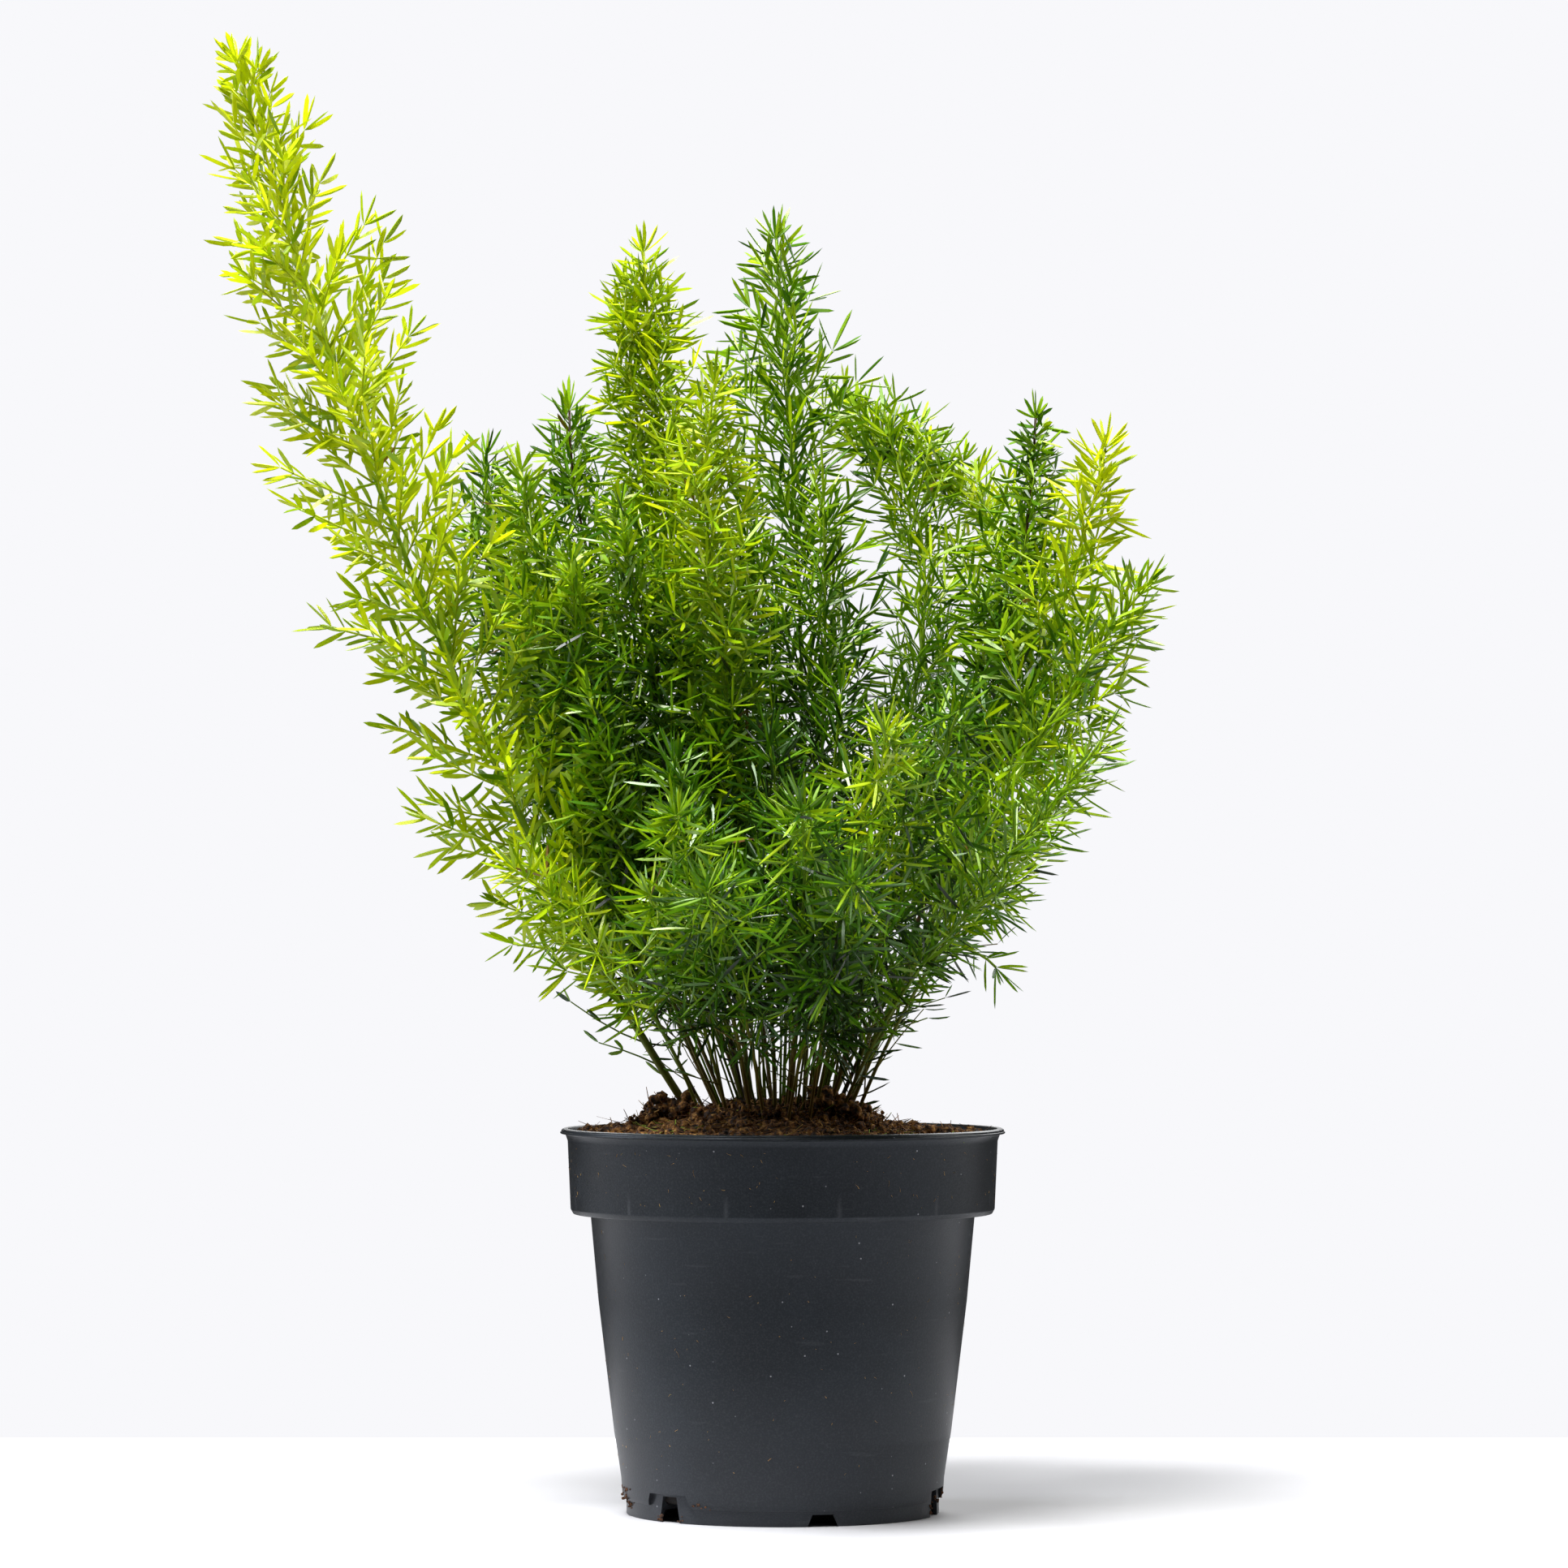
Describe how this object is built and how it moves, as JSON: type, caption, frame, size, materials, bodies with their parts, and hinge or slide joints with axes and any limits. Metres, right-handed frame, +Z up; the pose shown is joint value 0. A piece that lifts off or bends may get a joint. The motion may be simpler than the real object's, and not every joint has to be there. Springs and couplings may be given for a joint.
{
  "type": "potted asparagus fern",
  "caption": "Upright foxtail asparagus fern in a dark plastic nursery pot: leafy stems with whorls of narrow cladodes fan out of mounded potting mix.",
  "frame": {"origin": "on the pot's axis, level with the flat underside of its base, which stands on the surface", "axes": "+Z up along the pot's axis, -Y towards the viewer of the picture, +X to the viewer's right; the tallest stem leans to -X"},
  "size_m": [0.3723, 0.3254, 0.569],
  "materials": {
    "pot": "satin",
    "soil": "matte",
    "old_foliage": "satin",
    "young_foliage": "satin"
  },
  "bodies": {
    "root": {"pot": "pot", "soil": "soil", "leafy_stem_01": "young_foliage", "leafy_stem_02": "young_foliage", "leafy_stem_03": "young_foliage", "leafy_stem_04": "old_foliage", "leafy_stem_05": "old_foliage", "leafy_stem_06": "young_foliage", "leafy_stem_07": "old_foliage", "leafy_stem_08": "old_foliage", "leafy_stem_09": "old_foliage", "leafy_stem_10": "old_foliage", "leafy_stem_11": "old_foliage", "leafy_stem_12": "old_foliage", "leafy_stem_13": "old_foliage", "leafy_stem_14": "old_foliage", "leafy_stem_15": "old_foliage", "leafy_stem_16": "old_foliage", "leafy_stem_17": "old_foliage", "leafy_stem_18": "old_foliage", "leafy_stem_19": "young_foliage", "leafy_stem_20": "old_foliage", "leafy_stem_21": "old_foliage", "leafy_stem_22": "old_foliage", "leafy_stem_23": "old_foliage", "leafy_stem_24": "old_foliage", "leafy_stem_25": "young_foliage", "leafy_stem_26": "old_foliage", "leafy_stem_27": "old_foliage", "leafy_stem_28": "old_foliage", "leafy_stem_29": "old_foliage", "leafy_stem_30": "old_foliage", "leafy_stem_31": "old_foliage", "leafy_stem_32": "old_foliage", "leafy_stem_33": "old_foliage", "leafy_stem_34": "old_foliage", "leafy_stem_35": "old_foliage", "leafy_stem_36": "old_foliage"}
  },
  "joints": []
}
